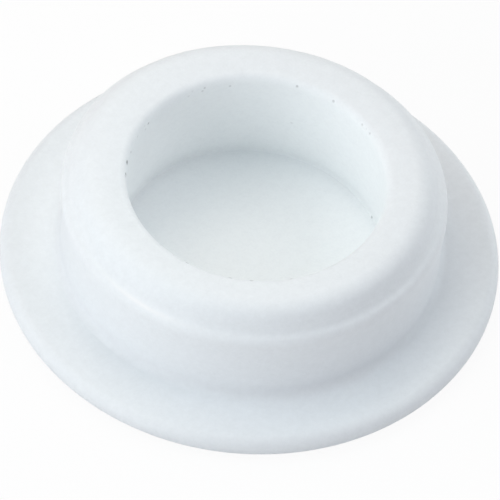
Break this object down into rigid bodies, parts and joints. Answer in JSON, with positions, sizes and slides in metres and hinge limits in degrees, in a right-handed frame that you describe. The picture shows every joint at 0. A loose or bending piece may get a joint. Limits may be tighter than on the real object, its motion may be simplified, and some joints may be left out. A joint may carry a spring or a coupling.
{
  "type": "desk grommet",
  "caption": "Round flanged desk hole liner with a soft closing plug seated in its sleeve, shown lying on its face.",
  "frame": {"origin": "centre of the face, on the plane that the grommet lies on", "axes": "+Z along the grommet's axis, from the face that shows on the desk towards the end that goes into the hole; X and Y are any two directions across it"},
  "size_m": [0.078, 0.078, 0.0209],
  "materials": {
    "liner_plastic": "satin moulded white plastic",
    "plug_elastomer": "satin soft white elastomer"
  },
  "bodies": {
    "liner_body": {"liner": "liner_plastic"},
    "plug_body": {"plug": "plug_elastomer"}
  },
  "joints": [
    {"name": "plug_push_out", "type": "slide", "parent": "liner_body", "child": "plug_body", "axis": [0, 0, 1], "range_m": [0, 0.018]}
  ]
}
